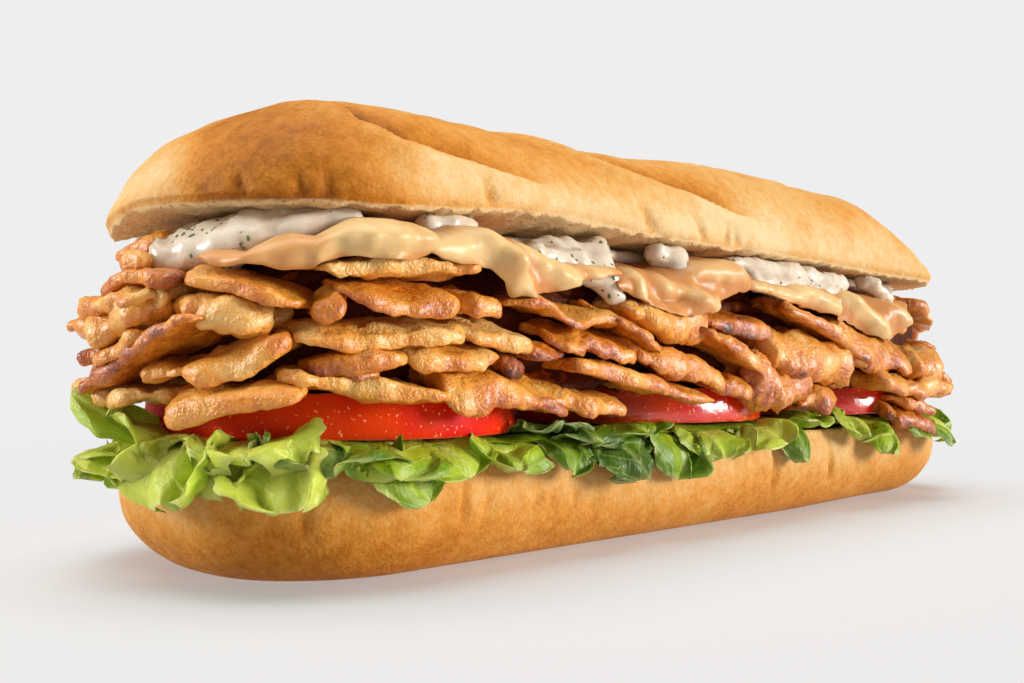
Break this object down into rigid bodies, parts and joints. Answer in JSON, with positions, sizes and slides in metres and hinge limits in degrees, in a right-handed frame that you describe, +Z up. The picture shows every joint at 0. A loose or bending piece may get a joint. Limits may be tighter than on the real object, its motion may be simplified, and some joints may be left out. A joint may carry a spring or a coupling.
{
  "type": "submarine sandwich",
  "caption": "Long soft sandwich roll split into two halves and filled with lettuce, tomato, sliced roast chicken, melted cheese and white herb sauce; it rests on its flat base.",
  "frame": {"origin": "on the table, under the middle of the roll", "axes": "+X along the roll from the end nearest the viewer to the far end, +Z up, and -Y towards the side the viewer looks at"},
  "size_m": [0.272, 0.0912, 0.0889],
  "materials": {
    "crust": "soft matte baked crust",
    "leaf": "waxy wet leaf",
    "tomato": "wet shiny skin and flesh",
    "chicken": "moist roasted meat with browned edges",
    "cheese": "glossy melted cheese",
    "sauce": "glossy thick sauce with herb flecks"
  },
  "bodies": {
    "root": {"bottom_bun": "crust", "top_bun": "crust", "lettuce": "leaf", "tomato_slice_1": "tomato", "tomato_slice_2": "tomato", "tomato_slice_3": "tomato", "chicken_heap": "chicken", "cheese_slice_1": "cheese", "cheese_slice_2": "cheese", "cheese_slice_3": "cheese", "cheese_slice_4": "cheese", "herb_sauce": "sauce"}
  },
  "joints": []
}
